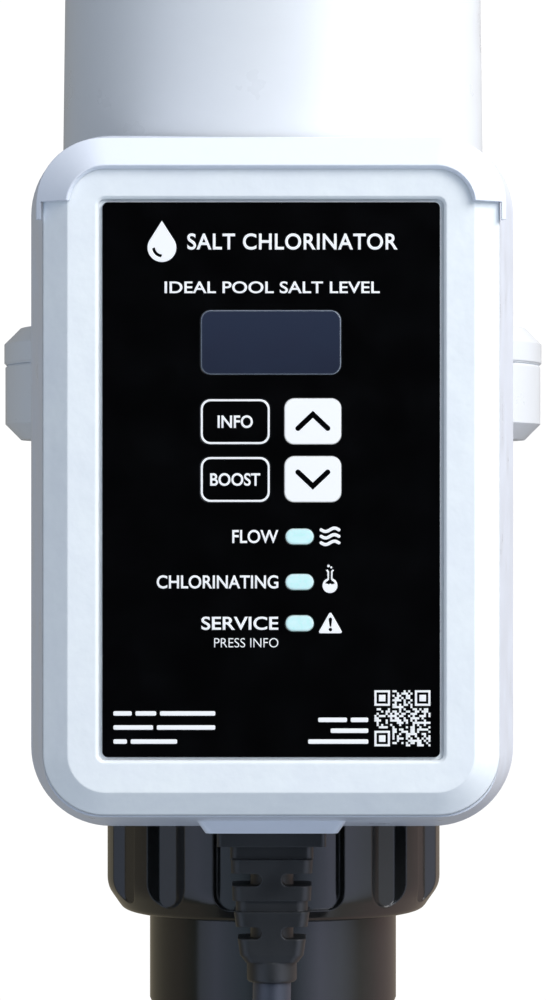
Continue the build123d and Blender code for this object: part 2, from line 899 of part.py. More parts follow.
def make_plates(first, tab_z):
    """Every second plate of the pack, each with a tab for its bus bar."""
    plates = []
    for index in range(first, plate_count, 2):
        x = plate_x(index)
        half = plate_thickness / 2
        plate = box((x - half, x + half), (-plate_half_w, plate_half_w), (plate_low_z, plate_high_z))
        tab = box((x - half, x + half), (-plate_half_w - 4, 0), (tab_z - 4, tab_z + 4))
        plates.append(plate + tab)
    return plates


def make_bus_bar(tab_z):
    """Bar across the tabs of one polarity."""
    front = -plate_half_w - 4
    return box((-31.0, 31.0), (front - 2.5, front), (tab_z - 4, tab_z + 4))


def make_comb(z_low, z_high):
    """Frame whose slots hold the plates' ends at even distances."""
    frame = box((-34.0, 34.0), (-37.5, 37.5), (z_low, z_high))
    frame -= box((-31.4, 31.4), (-32.4, 32.4), (z_low - 1, z_high + 1))
    slot = plate_thickness / 2 + 0.1
    for index in range(plate_count):
        x = plate_x(index)
        reach = plate_half_w + 0.2
        frame -= box(
            (x - slot, x + slot), (-reach, reach), (max(z_low, plate_low_z), min(z_high, plate_high_z))
        )
    return frame


def make_terminal_stud(z):
    """Titanium stud from a bus bar out through the cell's wall."""
    return rod_y(stud_r, 0.0, z, -plate_half_w - 6.5, -80.0)


def make_stud_seal(z):
    """Ring seal in the boss's counterbore."""
    ring = rod_y(4.5, 0.0, z, deck_y + 2.3, deck_y)
    return ring - rod_y(stud_r + 0.05, 0.0, z, deck_y + 4, deck_y - 1)


def make_stud_nut(z):
    """Hexagon nut that clamps the stud inside the housing."""
    y = deck_y - wall
    plane = Plane.XZ.offset(-y)
    nut = extrude(plane * Pos(0, z) * RegularPolygon(5.5, 6, major_radius=False), amount=4.0)
    return nut - rod_y(stud_r + 0.05, 0.0, z, y + 1, y - 5)


# ---- flow sensor -------------------------------------------------------------------
def make_flow_sensor():
    """Plug through the cell's wall, with two ears for the paddle's pin."""
    body = rod_y(9.0, 0.0, flow_z, sensor_face_y, deck_y - wall)
    body += rod_y(12.5, 0.0, flow_z, deck_y - wall, deck_y - wall - 4.0)
    body -= rod_y(6.0, 0.0, flow_z, sensor_face_y - 4.0, deck_y - wall - 5.0)
    groove = rod_y(9.5, 0.0, flow_z, -62.0, -59.4) - rod_y(7.6, 0.0, flow_z, -63.0, -58.0)
    body -= groove
    for side in (-1, 1):
        x = (side * 4.6, side * 6.8)
        ear = box((min(x), max(x)), (sensor_face_y - 1, -29.5), (flow_z - 4, flow_z + 4))
        body += ear
    return body - rod_x(1.52, paddle_axis_y, flow_z, 8.0)


def make_flow_seal():
    """Ring seal in the plug's groove."""
    ring = rod_y(9.15, 0.0, flow_z, -61.8, -59.6)
    return ring - rod_y(7.62, 0.0, flow_z, -63.0, -58.0)


def make_paddle():
    """Vane across the stream, with a short arm that carries the magnet."""
    hub = rod_x(3.3, paddle_axis_y, flow_z, 4.3)
    vane = box((-4.3, 4.3), (paddle_axis_y, -18.0), (flow_z - 1.1, flow_z + 1.1))
    blade = box((-12.0, 12.0), (-20.0, 10.0), (flow_z - 1.1, flow_z + 1.1))
    blade = fillet(blade.edges().filter_by(Axis.Z), 5.0)
    arm = box((-3.2, 3.2), (-39.0, paddle_axis_y), (flow_z - 2.9, flow_z + 2.9))
    paddle = hub + vane + blade + arm
    paddle -= rod_x(1.56, paddle_axis_y, flow_z, 6.0)
    return paddle - rod_y(2.2, 0.0, flow_z, -36.6, -40.0)


def make_temperature_probe():
    """Closed metal sheath through the cell's wall, with a collar inside the housing."""
    sheath = rod_y(3.0, probe_x, probe_z, -38.0, deck_y - wall)
    tip = sheath.edges().filter_by(GeomType.CIRCLE).sort_by(Axis.Y)[-1]
    sheath = fillet(tip, 1.5)
    return sheath + rod_y(5.5, probe_x, probe_z, deck_y - wall, deck_y - wall - 4.0)


# ---- leads inside the housing ------------------------------------------------------
def make_cord_leads():
    """Four leads from the strain relief up to the terminal block."""
    leads = []
    back = board_y + board_thickness
    for index in range(4):
        x = -10.5 + 7.0 * index
        start_x = -3.6 + 2.4 * index
        entry_y = back + 5.0
        leads.append(
            wire(
                [
                    (start_x, cord_y - 1, relief_flange_z + 2.6),
                    (start_x, cord_y - 1, 68.0),
                    (x, entry_y, 72.5),
                    (x, entry_y, housing_z - 57.0 - 1.2),
                ],
                radius=1.0,
            )
        )
    return leads


def make_electrode_leads():
    """Heavy leads from the studs to the relays."""
    leads = []
    back = board_y + board_thickness
    for (name, z), side in zip(stud_heights.items(), (-1, 1)):
        y = deck_y - wall - 8.0
        end_z = housing_z + 49.0 + (0.0 if name == "anode" else 6.0)
        leads.append(
            wire(
                [
                    (side * 3.2, y, z),
                    (side * 9.5, y, z),
                    (side * 13.0, y - 2.0, end_z),
                    (side * 17.0, back + 16.6, end_z),
                ],
                radius=1.5,
                bend=2.4,
            )
        )
    return leads


def make_sensor_leads():
    """Leads from the flow sensor and the temperature probe to the board."""
    back = board_y + board_thickness
    y = deck_y - wall - 4.0
    flow = wire(
        [(3.0, y, flow_z), (3.0, y - 6.0, flow_z), (9.0, y - 12.0, flow_z + 8), (9.0, back, flow_z + 8)]
    )
    probe = wire(
        [
            (probe_x, y, probe_z),
            (probe_x, y - 6.0, probe_z),
            (probe_x + 10, y - 9.4, probe_z + 14),
            (probe_x + 10, back, probe_z + 14),
        ]
    )
    return [flow, probe]


# ---- cord --------------------------------------------------------------------------
def tapered_block(z_top, z_low, top, low, corner):
    """A rounded block between two (width, depth) sizes, centred on the cord."""
    first = Plane.XY.offset(z_low) * Pos(0, cord_y) * RectangleRounded(*low, corner)
    if top == low:
        return extrude(first, amount=z_top - z_low)
    second = Plane.XY.offset(z_top) * Pos(0, cord_y) * RectangleRounded(*top, corner)
    return loft([first, second], ruled=True)


def make_strain_relief():
    """Moulded strain relief: inside flange, neck through the wall, slotted taper."""
    nose_top = relief_blocks[-1][1]
    nose = rod_z(relief_nose_r, cord_exit_z, nose_top, 0.0, cord_y)
    rim = nose.edges().filter_by(GeomType.CIRCLE).sort_by(Axis.Z)[0]
    body = fillet(rim, relief_nose_round)
    for block in relief_blocks:
        body += tapered_block(*block)
    core = rod_z(relief_core_r, nose_top, relief_flange_z, 0.0, cord_y)
    for low, high in relief_slots:
        for side in (-1, 1):
            body -= relief_slot(side, low, high) - core
    return body


def relief_slot(side, low, high):
    """A slot through one side of the strain relief, with a round inner end."""
    round_r = (high - low) / 2
    start = side * (relief_slot_x + round_r)
    across, deep = relief_slot_reach
    end = side * across
    reach = (cord_y - deep, cord_y + deep)
    slot = box((min(start, end), max(start, end)), reach, (low, high))
    return slot + rod_y(round_r, start, (low + high) / 2, *reach)


def coil_section(grow=0.0):
    """The coil's cross-section: a rounded block of turns."""
    half_w = coil_columns * cord_r + grow
    half_d = coil_layers * cord_r + grow
    return Pos(coil_r, 0) * RectangleRounded(2 * half_w, 2 * half_d, cord_r + grow)


def coil_ring(grow=0.0, arc=360.0, start=0.0):
    """The coil, or a band around part of it, turned about its own level axis."""
    place = Pos(0, cord_y, coil_z) * Rot(90, 0, 0) * Rot(0, 0, start)
    section = Plane.XZ * coil_section(grow)
    return place * revolve(section, Axis.Z, revolution_arc=arc)


def make_cord_ties():
    """Two straps around the coil's turns."""
    ties = []
    for start in (40.0, 268.0):
        ties.append(coil_ring(1.2, 9.0, start) - coil_ring(0.0, 15.0, start - 3.0))
    return ties


def connector_piece(z_from, z_to, r_from, r_to):
    """A round piece of the connector, straight or tapered, on the tail's end."""
    x, y, end_z = tail_route[-1]
    low, high = end_z - z_to, end_z - z_from
    if r_from == r_to:
        return rod_z(r_from, low, high, x, y)
    return Pos(x, y, (low + high) / 2) * Cone(r_to, r_from, high - low)


def make_connector_boot():
    """Tapered sleeve where the cord enters the connector, with grip ridges."""
    boot = connector_piece(0.0, 22.0, 6.6, 9.4)
    for z in (4.0, 8.5, 13.0):
        boot += connector_piece(z, z + 2.4, 7.6 + 0.127 * z, 7.9 + 0.127 * z)
    return boot


def make_connector_shell():
    """Round connector body with a socket for the four pins."""
    shell = connector_piece(22.0, 27.0, 11.0, 11.0)
    shell += connector_piece(27.0, 46.0, 8.6, 8.6)
    return shell - connector_piece(36.0, 47.0, 7.0, 7.0)


def make_connector_pins():
    """Four contacts in the connector's socket."""
    x, y, end_z = tail_route[-1]
    pins = []
    for index in range(4):
        angle = math.radians(45 + 90 * index)
        px = x + 3.6 * math.cos(angle)
        py = y + 3.6 * math.sin(angle)
        pins.append(rod_z(0.9, end_z - 44.0, end_z - 36.0, px, py))
    return pins


def make_connector_ring():
    """Coupling ring that turns on the connector's body, with grip flats."""
    ring = connector_piece(27.4, 44.0, 12.2, 12.2) - connector_piece(27.0, 45.0, 8.75, 8.75)
    x, y, end_z = tail_route[-1]
    for index in range(12):
        angle = math.radians(30 * index)
        px = x + 13.3 * math.cos(angle)
        py = y + 13.3 * math.sin(angle)
        ring -= rod_z(2.1, end_z - 41.5, end_z - 26.0, px, py)
    return ring


def report_cord(name, points, shape):
    """Prints the arcs' radii, and the tube's volume against its section and length."""
    radii = largest_radii(points)
    path = FilletPolyline(*points, radius=radii)
    expected = math.pi * cord_r**2 * path.length
    print(name, "radii", [round(radius, 1) for radius in radii])
    print(name, "length", round(path.length, 1), "volume ratio", round(shape.volume / expected, 4))


def main():
    tailpiece = make_tailpiece()
    o_ring = make_o_ring()
    nut = make_union_nut()
    for side, placed in (("lower", lambda shape: shape), ("upper", upper)):
        save(f"tailpiece_{side}", placed(tailpiece))
        save(f"o_ring_{side}", placed(o_ring))
        save(f"union_nut_{side}", placed(nut))
    save("cell_body_lower", make_cell_body_lower())
    save("cell_body_upper", make_cell_body_upper())

    save("rear_housing", make_rear_housing())
    save("housing_gasket", make_housing_gasket())
    save("front_bezel", make_front_bezel())
    save("graphic_overlay", make_graphic_overlay())
    save("display_window", make_display_window())
    for key in key_places:
        save(f"key_{key}", make_key(key))
    for name in lens_heights:
        save(f"{name}_lens", make_lens(name))
    save("housing_screws", *make_housing_screws())
    save("saddle_screws", *make_saddle_screws())

    save("control_board", make_control_board())
    save("board_screws", *make_board_screws())
    save("lcd_module", make_lcd_module())
    save("indicator_leds", *make_indicator_leds())
    save("switch_bases", *make_switch_bases())
    save("microcontroller", make_microcontroller())
    save("heat_sink", make_heat_sink())
    save("capacitors", *make_capacitors())
    save("relays", *make_relays())
    save("inductor", make_inductor())
    save("terminal_block", make_terminal_block())

    save("anode_plates", *make_plates(0, stud_heights["anode"]))
    save("cathode_plates", *make_plates(1, stud_heights["cathode"]))
    save("bus_bars", *[make_bus_bar(z) for z in stud_heights.values()])
    save("electrode_comb_lower", make_comb(187.6, 194.6))
    save("electrode_comb_upper", make_comb(323.0, 330.0))
    save("terminal_studs", *[make_terminal_stud(z) for z in stud_heights.values()])
    save("stud_seals", *[make_stud_seal(z) for z in stud_heights.values()])
    save("stud_nuts", *[make_stud_nut(z) for z in stud_heights.values()])

    save("flow_sensor_body", make_flow_sensor())
    save("flow_sensor_seal", make_flow_seal())
    save("paddle_pin", rod_x(1.5, paddle_axis_y, flow_z, 6.8))
    save("flow_paddle", make_paddle())
    save("paddle_magnet", rod_y(2.15, 0.0, flow_z, -36.6, -39.0))
    save("temperature_probe", make_temperature_probe())

    save("cord_leads", *make_cord_leads())
    save("electrode_leads", *make_electrode_leads())
    save("sensor_leads", *make_sensor_leads())

    save("strain_relief", make_strain_relief())
    lead_in = tube(lead_in_route, largest_radii(lead_in_route), cord_r)
    tail = tube(tail_route, largest_radii(tail_route), cord_r)
    save("power_cord", lead_in)
    save("cord_coil", coil_ring())
    save("cord_tail", tail)
    save("cord_ties", *make_cord_ties())
    save("connector_boot", make_connector_boot())
    save("connector_shell", make_connector_shell())
    save("connector_pins", *make_connector_pins())
    save("connector_ring", make_connector_ring())
    report_cord("power_cord", lead_in_route, lead_in)
    report_cord("cord_tail", tail_route, tail)

    os.makedirs("parts", exist_ok=True)
    for name, shape in nodes.items():
        export_step(shape, f"parts/{name}.step")
    print(len(nodes), "nodes")


main()
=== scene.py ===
import math
import random

import bpy
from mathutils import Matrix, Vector


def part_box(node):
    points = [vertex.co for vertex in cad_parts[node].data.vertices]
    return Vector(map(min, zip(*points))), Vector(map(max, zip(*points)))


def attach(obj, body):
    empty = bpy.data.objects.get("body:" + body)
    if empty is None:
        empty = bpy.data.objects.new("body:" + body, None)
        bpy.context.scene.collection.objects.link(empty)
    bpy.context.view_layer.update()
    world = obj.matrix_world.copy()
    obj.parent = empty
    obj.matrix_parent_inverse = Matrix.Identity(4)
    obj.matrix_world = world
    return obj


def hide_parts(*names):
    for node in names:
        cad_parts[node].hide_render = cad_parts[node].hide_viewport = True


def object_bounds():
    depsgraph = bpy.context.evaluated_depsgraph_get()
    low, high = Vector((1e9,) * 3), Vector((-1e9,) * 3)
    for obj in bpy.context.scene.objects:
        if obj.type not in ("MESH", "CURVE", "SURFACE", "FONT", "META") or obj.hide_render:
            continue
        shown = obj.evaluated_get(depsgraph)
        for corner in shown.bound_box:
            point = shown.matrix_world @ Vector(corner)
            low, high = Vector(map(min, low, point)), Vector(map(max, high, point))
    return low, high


# An inline salt chlorine generator in a pale studio. Metres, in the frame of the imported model:
# +Z runs up the pipe axis and the control panel faces -Y.

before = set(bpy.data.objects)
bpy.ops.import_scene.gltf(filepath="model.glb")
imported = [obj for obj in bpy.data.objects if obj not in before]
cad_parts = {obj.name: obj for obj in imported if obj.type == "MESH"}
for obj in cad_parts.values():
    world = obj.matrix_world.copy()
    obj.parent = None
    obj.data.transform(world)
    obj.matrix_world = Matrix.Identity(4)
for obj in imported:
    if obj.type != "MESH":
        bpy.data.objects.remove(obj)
cad_low, cad_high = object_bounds()

# ---- driving values ------------------------------------------------------------------
camera_place = (0.0047, -1.096, 0.139)
camera_focal_length = 142.7
camera_sensor = 36.0
camera_shift = -0.017

panel_low, panel_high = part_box("graphic_overlay")
panel_face = panel_low.y
panel_x = (panel_low.x + panel_high.x) / 2
panel_z = (panel_low.z + panel_high.z) / 2
ink_depth = 0.00006

floor_gap = 0.026
floor_radius = 14.0
floor_sides = 96
# The floor turns white between these distances from the object's axis.
floor_fade = (0.5, 1.7)
studio_white = 1.05

# Each softbox: name, azimuth from straight ahead of the panel, elevation, distance, size, power
# and colour.
softboxes = (
    ("key", 40, 28, 1.7, 0.9, 19.3, (1, 1, 1)),
    ("side", 84, 42, 1.5, 0.8, 13.5, (1, 1, 1)),
    ("top", 10, 75, 1.4, 0.7, 1.2, (0.9, 0.95, 1.0)),
)
# Degrees round from straight ahead of the panel, and the light that glossy surfaces find that way.
walls = (
    (-180, (0.26, 0.23, 0.17)),
    (-130, (0.30, 0.27, 0.20)),
    (-95, (0.31, 0.27, 0.21)),
    (-76, (0.17, 0.18, 0.14)),
    (-72, (0.62, 0.70, 0.84)),
    (-54, (0.82, 0.92, 1.22)),
    (-24, (0.46, 0.60, 0.74)),
    (-9, (0.0, 0.0, 0.0)),
    (9, (0.0, 0.0, 0.0)),
    (24, (0.60, 0.72, 0.92)),
    (44, (1.30, 1.38, 1.80)),
    (66, (1.04, 1.12, 1.32)),
    (88, (0.52, 0.49, 0.44)),
    (118, (0.60, 0.46, 0.43)),
    (180, (0.26, 0.23, 0.17)),
)
# The soft light that other surfaces find: from above, and from below behind and ahead.
soft_above = (0.31, 0.35, 0.415, 1)
soft_behind = (0.19, 0.22, 0.265, 1)
soft_ahead = (0.50, 0.57, 0.67, 1)

cord_radius = 0.005
cord_exit = (0.0, -0.068, 0.0142)
cord_lead_in = [
    cord_exit,
    (0.0, -0.068, -0.0105),
    (-0.0085, -0.068, -0.0325),
    (-0.0255, -0.068, -0.0500),
    (-0.0450, -0.068, -0.0625),
]
cord_tail = [
    (-0.0740, -0.078, -0.1330),
    (-0.0775, -0.078, -0.1510),
    (-0.0790, -0.078, -0.1710),
    (-0.0790, -0.078, -0.1900),
]
coil_height = -0.120
coil_inner_turn = 0.045
coil_front_layer = -0.078
coil_pitch = 0.010
coil_start = 130.0
coil_end = 190.0
coil_points_per_turn = 20
coil_looseness = 0.00025
coil_seed = 11
# The share of a turn after which the cord crosses to its next place, and how long that takes.
coil_crossing = (0.69, 0.17)
# Which column (0 is the innermost) and layer (0 is the front one) each turn lies in.
coil_slots = [
    (3, 1), (3, 2), (2, 2), (1, 2), (0, 2), (0, 1),
    (0, 0), (1, 0), (1, 1), (2, 1), (2, 0), (3, 0),
]

# Words on the panel in millimetres: name, text, (width, cap height), place, anchor, weight and
# letter spacing.
panel_words = (
    ("title_words", "SALT CHLORINATOR", (52.4, 4.1), (-20.9, 59.3), 0.0, 0.018, 1.06),
    ("level_words", "IDEAL POOL SALT LEVEL", (53.6, 3.0), (0.25, 47.9), 0.5, 0.015, 1.0),
    ("flow_words", "FLOW", (11.5, 3.35), (1.8, -14.15), 1.0, 0.018, 1.0),
    ("chlorinating_words", "CHLORINATING", (30.3, 3.35), (1.8, -25.45), 1.0, 0.018, 1.0),
    ("service_words", "SERVICE", (19.2, 3.35), (1.8, -35.75), 1.0, 0.018, 1.0),
    ("press_words", "PRESS INFO", (16.0, 2.35), (1.8, -40.6), 1.0, -0.004, 1.0),
)
# Bars in place of small print: (u, v, word widths) of each row.
care_rows = (
    (-39.3, -58.2, (4.6, 5.2, 13.8)),
    (-39.3, -61.7, (9.9, 14.6)),
    (-39.3, -65.2, (3.4, 11.6)),
)
help_rows = (
    (24.2, -59.8, (7.2, 4.4)),
    (24.2, -62.5, (9.4,)),
    (24.2, -65.2, (15.0,)),
)
bar_gap = 0.9
bar_height = 1.15
bar_corner = 0.35
tile_modules = 25
tile_side = 14.0
tile_share = 0.52
tile_trim = 0.02
tile_place = (25.7, -66.4)
tile_seed = 5
# The dark keys: key, word and the word's width.
worded_keys = (("info", "INFO", 8.8), ("boost", "BOOST", 12.5))
key_flange = 1.6
key_cap_height = 3.2
key_word_weight = 0.022
key_inset = 0.1
key_line = 0.53
key_corners = (2.4, 2.0)
chevron_half_w = 3.7
chevron_half_h = 1.75
chevron_line = 1.3

# Sizes of the grain in moulded plastic.
speck_size = 0.0022
scuff_size = 0.004
gloss_size = 0.012
scuff_stretch = (1, 1, 0.35)


# ---- material helpers ----------------------------------------------------------------
def add(tree, kind, inputs=None, **settings):
    """Adds a shader node. An input given as a socket is linked, and anything else is set."""
    made = tree.nodes.new("ShaderNode" + kind)
    for key, value in settings.items():
        setattr(made, key, value)
    for key, value in (inputs or {}).items():
        if isinstance(value, bpy.types.NodeSocket):
            tree.links.new(value, made.inputs[key])
        else:
            made.inputs[key].default_value = value
    return made


def blank(name):
    """An empty node material: its tree, its shader and its object coordinates."""
    material = bpy.data.materials.new(name)
    material.use_nodes = True
    tree = material.node_tree
    tree.nodes.clear()
    shader = add(tree, "BsdfPrincipled")
    output = add(tree, "OutputMaterial")
    tree.links.new(shader.outputs["BSDF"], output.inputs["Surface"])
    place = add(tree, "TexCoord").outputs["Object"]
    return material, tree, shader, place


def noise(tree, place, size, detail=2.0, stretch=(1, 1, 1)):
    """Noise whose features are about this size in metres, stretched along the axes."""
    mapped = add(tree, "Mapping", {"Vector": place, "Scale": tuple(1 / s for s in stretch)})
    return add(
        tree, "TexNoise", {"Vector": mapped.outputs[0], "Scale": 1 / size, "Detail": detail}
    ).outputs["Fac"]


def between(tree, factor, low, high, from_low=0.3, from_high=0.7):
    """Maps a factor to a range of numbers."""
    return add(
        tree,
        "MapRange",
        {"Value": factor, "From Min": from_low, "From Max": from_high, "To Min": low, "To Max": high},
    ).outputs["Result"]


def mix(tree, factor, first, second):
    """Mixes two colours."""
    made = add(tree, "Mix", data_type="RGBA")
    for key, value in ((0, factor), (6, first), (7, second)):
        if isinstance(value, bpy.types.NodeSocket):
            tree.links.new(value, made.inputs[key])
        else:
            made.inputs[key].default_value = value
    return made.outputs[2]


def shaded(colour, amount):
    """The same colour, lighter or darker by a share."""
    return tuple(min(1.0, part * (1 + amount)) for part in colour[:3]) + (1.0,)


def edges(tree, radius):
    """A softened normal for sharp edges, and a mask that is 1 along them."""
    soft = add(tree, "Bevel", {"Radius": radius}, samples=6).outputs["Normal"]
    hard = add(tree, "NewGeometry").outputs["Normal"]
    likeness = add(tree, "VectorMath", {0: soft, 1: hard}, operation="DOT_PRODUCT").outputs["Value"]
    return soft, between(tree, likeness, 1.0, 0.0, 0.72, 0.97)


def bumps(tree, place, normal, layers):
    """Layers of relief, each (feature size, height, stretch), on top of a normal."""
    for size, height, stretch in layers:
        relief = noise(tree, place, size, 3.0, stretch)
        normal = add(
            tree, "Bump", {"Strength": 1.0, "Distance": height, "Height": relief, "Normal": normal}
        ).outputs["Normal"]
    return normal


even = (1, 1, 1)


def moulded(
    name,
    colour,
    roughness,
    relief,
    blotch=0.03,
    edge=0.0004,
    wear=0.06,
    specular=0.5,
    patch=0.035,
    painted_glow=0.0,
):
    """Moulded plastic or rubber: faint blotches, uneven gloss, soft edges that catch wear, and a
    painted glow in its own colour if asked.
    """
    material, tree, shader, place = blank(name)
    soft, along_edge = edges(tree, edge)
    patches = noise(tree, place, patch, 3.0)
    specks = noise(tree, place, speck_size, 2.0)
    base = mix(
        tree, between(tree, patches, 0.0, 1.0), shaded(colour, -blotch), shaded(colour, blotch)
    )
    fine = mix(tree, between(tree, specks, 0.0, 0.35), base, shaded(colour, -2 * blotch))
    scuffs = noise(tree, place, scuff_size, 5.0, scuff_stretch)
    worn = add(
        tree,
        "Math",
        {0: along_edge, 1: between(tree, scuffs, 0.0, 1.0, 0.4, 0.65)},
        operation="MULTIPLY",
    ).outputs[0]
    tree.links.new(mix(tree, worn, fine, shaded(colour, wear)), shader.inputs["Base Color"])
    gloss = noise(tree, place, gloss_size, 4.0)
    tree.links.new(
        between(tree, gloss, roughness * 0.8, min(1.0, roughness * 1.25)), shader.inputs["Roughness"]
    )
    tree.links.new(bumps(tree, place, soft, relief), shader.inputs["Normal"])
    shader.inputs["Specular IOR Level"].default_value = specular
    # Emission in the material's own colour: a painted glow, since the part is no lamp.
    shader.inputs["Emission Color"].default_value = colour + (1.0,)
    shader.inputs["Emission Strength"].default_value = painted_glow
    return material


def metal(name, colour, roughness, stretch=(1, 1, 1), size=0.0006, height=0.000004):
    """Metal with drawn or turned marks along an axis and slightly dulled patches."""
    material, tree, shader, place = blank(name)
    soft, along_edge = edges(tree, 0.0002)
    dull = noise(tree, place, 0.006, 4.0)
    base = mix(tree, between(tree, dull, 0.0, 1.0), shaded(colour, -0.15), colour + (1.0,))
    tree.links.new(mix(tree, along_edge, base, shaded(colour, 0.15)), shader.inputs["Base Color"])
    marks = noise(tree, place, size, 4.0, stretch)
    tree.links.new(between(tree, marks, roughness * 0.7, roughness * 1.4), shader.inputs["Roughness"])
    tree.links.new(
        bumps(tree, place, soft, [(size, height, stretch)]), shader.inputs["Normal"]
    )
    shader.inputs["Metallic"].default_value = 1.0
    return material


def circuit_board():
    """Green solder mask with paler tracks and a faint weave of the glass cloth."""
    material, tree, shader, place = blank("board_green")
    soft, _ = edges(tree, 0.0002)
    upright = add(tree, "Mapping", {"Vector": place, "Rotation": (math.pi / 2, 0, 0)})
    tracks = add(
        tree,
        "TexBrick",
        {
            "Vector": upright.outputs[0],
            "Color1": (0.012, 0.13, 0.05, 1),
            "Color2": (0.02, 0.19, 0.08, 1),
            "Mortar": (0.03, 0.26, 0.12, 1),
            "Scale": 90.0,
            "Mortar Size": 0.03,
        },
    ).outputs["Color"]
    tree.links.new(tracks, shader.inputs["Base Color"])
    weave = noise(tree, place, 0.0007, 1.0, (1, 1, 3))
    tree.links.new(between(tree, weave, 0.25, 0.42), shader.inputs["Roughness"])
    tree.links.new(bumps(tree, place, soft, [(0.0007, 0.00001, even)]), shader.inputs["Normal"])
    return material


def wound_copper():
    """Enamelled wire wound side by side round the choke's core, bright on each turn's crest and darker
    in the grooves: painted shade with a matching bump.
    """
    material, tree, shader, place = blank("copper_wound")
    low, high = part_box("inductor")
    middle = (low + high) / 2
    centred = add(
        tree, "Mapping", {"Vector": place, "Location": (-middle.x, -middle.y, -middle.z)}
    ).outputs[0]
    parts = add(tree, "SeparateXYZ", {"Vector": centred}).outputs
    angle = add(tree, "Math", {0: parts["X"], 1: parts["Z"]}, operation="ARCTAN2").outputs[0]
    turns = add(tree, "Math", {0: angle, 1: 44.0}, operation="MULTIPLY").outputs[0]
    rounds = add(tree, "Math", {0: turns}, operation="SINE").outputs[0]
    strand_shade_and_relief = between(tree, rounds, 0.0, 1.0, -1.0, 1.0)
    # Dark copper in the grooves between turns and bright copper on their crests: painted shade.
    tree.links.new(
        mix(tree, strand_shade_and_relief, (0.18, 0.06, 0.02, 1), (0.62, 0.27, 0.1, 1)), shader.inputs["Base Color"]
    )
    relief = add(tree, "Bump", {"Strength": 1.0, "Distance": 0.0003, "Height": strand_shade_and_relief})
    tree.links.new(relief.outputs["Normal"], shader.inputs["Normal"])
    shader.inputs["Roughness"].default_value = 0.3
    shader.inputs["Metallic"].default_value = 0.6
    return material


def clear_window():
    """Tinted clear window, dark slate, with a painted fall of light that makes it lighter towards the
    top and a painted highlight along its edges.
    """
    material, tree, shader, place = blank("window_clear")
    soft, along_edge = edges(tree, 0.0007)
    height = add(tree, "SeparateXYZ", {"Vector": place}).outputs["Z"]
    low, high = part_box("display_window")
    # Painted light: the tint grows lighter towards the top of the window.
    painted_light_fall = between(tree, height, 0.0, 1.0, low.z, high.z)
    depth = mix(tree, painted_light_fall, (0.022, 0.028, 0.050, 1), (0.030, 0.038, 0.068, 1))
    cloud = noise(tree, place, 0.009, 2.0)
    tint = mix(tree, between(tree, cloud, 0.0, 0.5), depth, (0.026, 0.036, 0.064, 1))
    # A pale colour along the edges: a painted highlight.
    tree.links.new(mix(tree, along_edge, tint, (0.6, 0.68, 0.78, 1)), shader.inputs["Base Color"])
    scratches = noise(tree, place, 0.0004, 6.0, (8, 1, 1))
    tree.links.new(between(tree, scratches, 0.05, 0.12), shader.inputs["Roughness"])
    tree.links.new(
        bumps(tree, place, soft, [(0.006, 0.00001, even)]), shader.inputs["Normal"]
    )
    shader.inputs["Coat Weight"].default_value = 0.4
    shader.inputs["Coat Roughness"].default_value = 0.04
    return material


def light_pipe():
    """Frosted pale cyan light pipe, with a painted highlight that whitens its rim and a faint painted
    glow.
    """
    material, tree, shader, place = blank("lens_cyan")
    soft, along_edge = edges(tree, 0.0009)
    cloud = noise(tree, place, 0.0016, 3.0)
    core = mix(tree, between(tree, cloud, 0.0, 1.0), (0.62, 0.94, 0.92, 1), (0.70, 0.98, 0.96, 1))
    # A whiter colour along the rim: a painted highlight.
    colour = mix(tree, along_edge, core, (0.88, 0.98, 0.98, 1))
    tree.links.new(colour, shader.inputs["Base Color"])
    # A faint glow in its own colour: painted light.
    tree.links.new(colour, shader.inputs["Emission Color"])
    shader.inputs["Emission Strength"].default_value = 0.09
    tree.links.new(between(tree, cloud, 0.22, 0.38), shader.inputs["Roughness"])
    tree.links.new(
        bumps(tree, place, soft, [(0.0005, 0.00001, even)]), shader.inputs["Normal"]
    )
    shader.inputs["Subsurface Weight"].default_value = 0.2
    shader.inputs["Subsurface Radius"].default_value = (0.001, 0.0015, 0.0015)
    return material


def wire_colours():
    """Insulated leads: red, black, white and green by where they run."""
    material, tree, shader, place = blank("wire_insulation")
    across = add(tree, "SeparateXYZ", {"Vector": place}).outputs["X"]
    ramp = add(tree, "ValToRGB", {"Fac": between(tree, across, 0.0, 1.0, -0.012, 0.012)})
    stops = ramp.color_ramp
    stops.interpolation = "CONSTANT"
    for position, colour in (
        (0.3, (0.02, 0.02, 0.02, 1)), (0.5, (0.75, 0.75, 0.72, 1)), (0.7, (0.03, 0.3, 0.08, 1))
    ):
        stops.elements.new(position).color = colour
    stops.elements[0].color = (0.45, 0.02, 0.02, 1)
    stops.elements[-1].color = (0.45, 0.02, 0.02, 1)
    tree.links.new(ramp.outputs["Color"], shader.inputs["Base Color"])
    grain = noise(tree, place, 0.001, 2.0)
    tree.links.new(between(tree, grain, 0.35, 0.5), shader.inputs["Roughness"])
    return material


def strap():
    """Woven hook-and-loop strap."""
    material, tree, shader, place = blank("tie_black")
    fuzz = noise(tree, place, 0.0006, 5.0)
    tree.links.new(
        mix(tree, between(tree, fuzz, 0.0, 1.0), (0.01, 0.01, 0.011, 1), (0.05, 0.05, 0.053, 1)),
        shader.inputs["Base Color"],
    )
    shader.inputs["Roughness"].default_value = 0.9
    shader.inputs["Sheen Weight"].default_value = 0.3
    soft, _ = edges(tree, 0.0004)
    tree.links.new(
        bumps(tree, place, soft, [(0.0009, 0.0002, even), (0.0003, 0.00008, even)]),
        shader.inputs["Normal"],
    )
    return material


# Relief layers as (feature size, height, stretch).
satin = [(0.006, 0.00003, even), (0.0009, 0.000006, even)]
mottled = [(0.0075, 0.00022, even), (0.0028, 0.00004, even), (0.0007, 0.000005, even)]
glossy = [(0.012, 0.00003, even), (0.0012, 0.000004, even)]
leathery = [(0.0009, 0.00002, even), (0.00035, 0.000008, even)]
sheet_film = [(0.02, 0.00002, even), (0.0015, 0.000002, even)]

